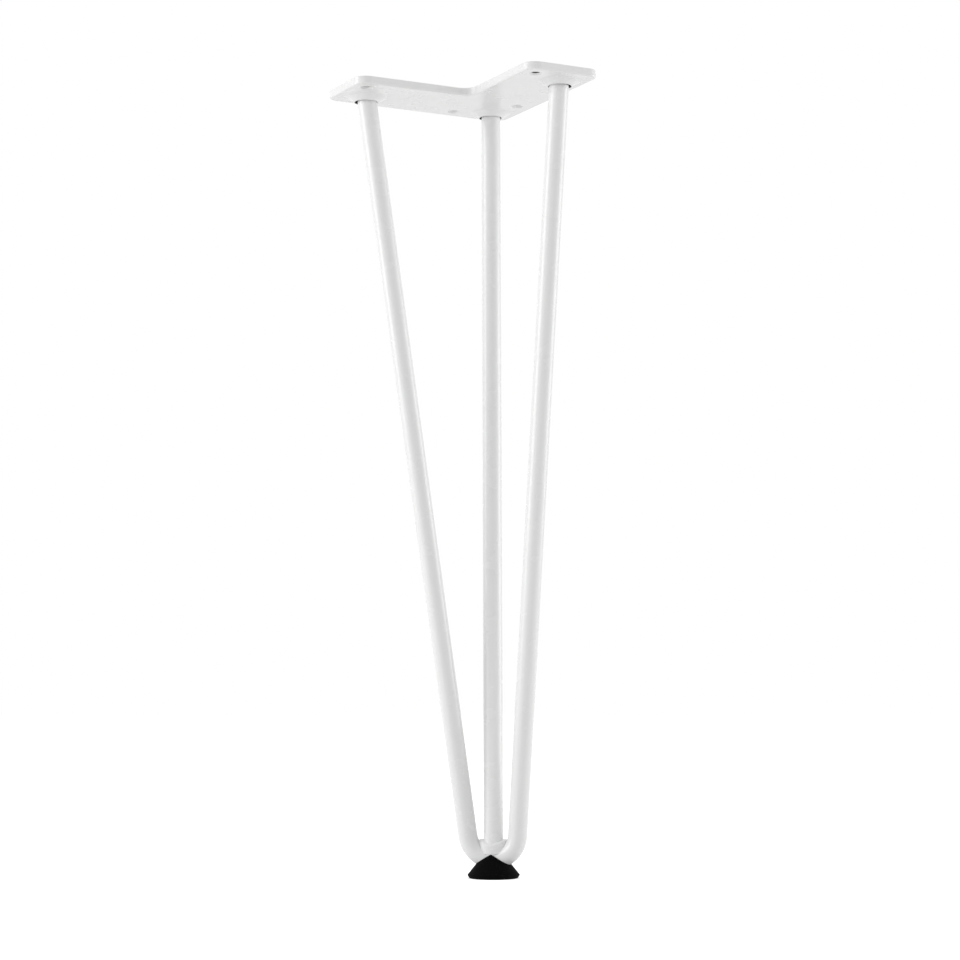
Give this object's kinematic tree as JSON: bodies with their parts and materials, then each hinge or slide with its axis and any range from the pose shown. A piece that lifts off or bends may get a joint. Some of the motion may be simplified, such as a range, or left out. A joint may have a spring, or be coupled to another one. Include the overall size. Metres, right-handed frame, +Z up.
{
  "type": "hairpin table leg",
  "caption": "Short three-rod hairpin table leg: a V-shaped screw-on plate, a hairpin-bent rod with a straight rod welded into its bend, and a rubber foot cone.",
  "frame": {"origin": "on the plate's flat top face, on the centre rod's axis, straight above the middle of the foot", "axes": "+Z up, away from the floor; +Y towards the plate's corner, so the two arms run back to the left and right of the YZ plane, which is the plane of symmetry; +X to the right arm"},
  "size_m": [0.1416, 0.0956, 0.406],
  "materials": {
    "white_coat": "smooth white powder coat on mild steel, satin gloss",
    "black_rubber": "moulded black rubber, matt"
  },
  "bodies": {
    "root": {"mounting_plate": "white_coat", "hairpin_rod": "white_coat", "centre_rod": "white_coat", "bend_weld": "white_coat", "left_plug_weld": "white_coat", "right_plug_weld": "white_coat", "corner_plug_weld": "white_coat", "rubber_foot": "black_rubber"}
  },
  "joints": []
}
